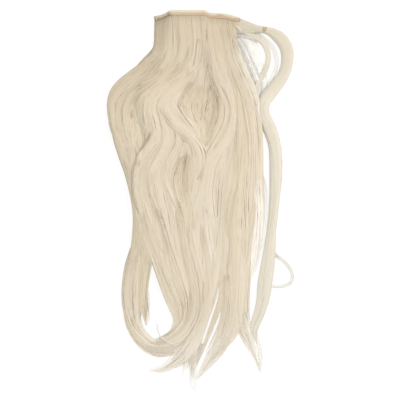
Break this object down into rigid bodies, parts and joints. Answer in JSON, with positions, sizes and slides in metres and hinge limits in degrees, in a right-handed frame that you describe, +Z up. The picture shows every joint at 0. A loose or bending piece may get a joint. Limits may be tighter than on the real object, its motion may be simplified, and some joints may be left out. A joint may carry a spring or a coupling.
{
  "type": "hair extension",
  "caption": "Long, loosely waved blonde hair extension lying flat: locks falling from a sewn weft band, with a tied side lock.",
  "frame": {"origin": "middle of the footprint, on the surface that the hair lies on", "axes": "+Z up from that surface, +Y from the hair tips to the weft band, +X to the right with the band at the top"},
  "size_m": [0.2789, 0.5573, 0.0261],
  "materials": {
    "weft_tape": "woven tape with rows of stitching",
    "hair": "fine glossy blonde strands",
    "binding_thread": "wound thread"
  },
  "bodies": {
    "root": {"weft_band": "weft_tape", "hair_fall": "hair", "side_lock": "hair", "lock_tie": "binding_thread"}
  },
  "joints": []
}
